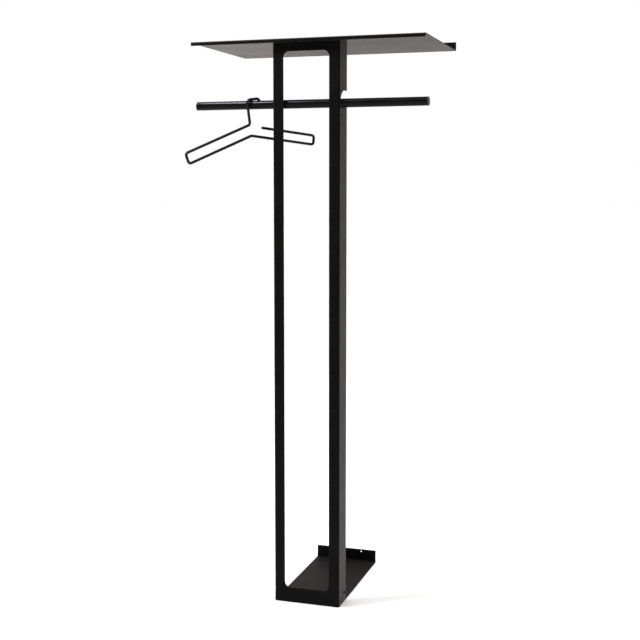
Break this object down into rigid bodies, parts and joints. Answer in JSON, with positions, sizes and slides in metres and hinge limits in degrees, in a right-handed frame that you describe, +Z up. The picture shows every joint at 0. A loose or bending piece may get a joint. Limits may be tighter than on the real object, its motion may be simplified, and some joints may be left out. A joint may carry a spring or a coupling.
{
  "type": "coat rack",
  "caption": "Slim folded-steel coat rack against a wall, with a hat shelf, a floor plate, a lift-out clothes rail and a wire hanger.",
  "frame": {"origin": "middle of the floor plate's underside, on the floor", "axes": "+X right along the wall, +Y back to the wall, +Z up"},
  "size_m": [0.699, 0.5938, 1.674],
  "materials": {
    "powder_coat": "matte black powder coat with a fine texture and a soft sheen",
    "rail_coat": "satin black powder coat, smoother than on the sheets",
    "wire_coat": "matte black coated wire",
    "black_screw": "blackened steel",
    "zinc_nut": "zinc plated",
    "cap_plastic": "matte dark grey plastic"
  },
  "bodies": {
    "rack": {"front_frame": "powder_coat", "hat_shelf": "powder_coat", "floor_plate": "powder_coat", "shelf_screw_1": "black_screw", "shelf_screw_2": "black_screw", "shelf_screw_3": "black_screw", "shelf_screw_4": "black_screw", "floor_screw_left": "black_screw", "floor_screw_right": "black_screw", "shelf_nut_1": "zinc_nut", "shelf_nut_2": "zinc_nut", "shelf_nut_3": "zinc_nut", "shelf_nut_4": "zinc_nut", "floor_nut_left": "zinc_nut", "floor_nut_right": "zinc_nut"},
    "rail": {"clothes_rail": "rail_coat", "rail_end_cap_left": "cap_plastic", "rail_end_cap_right": "cap_plastic"},
    "hanger": {"coat_hanger": "wire_coat"}
  },
  "joints": [
    {"name": "rail_lift_out", "type": "slide", "parent": "rack", "child": "rail", "axis": [0, 0.7071, 0.7071], "range_m": [0, 0.031]},
    {"name": "hanger_swing", "type": "hinge", "parent": "rail", "child": "hanger", "pos_m": [-0.166, -0.1885, 1.468], "axis": [1, 0, 0], "range_deg": [-18, 70]}
  ]
}
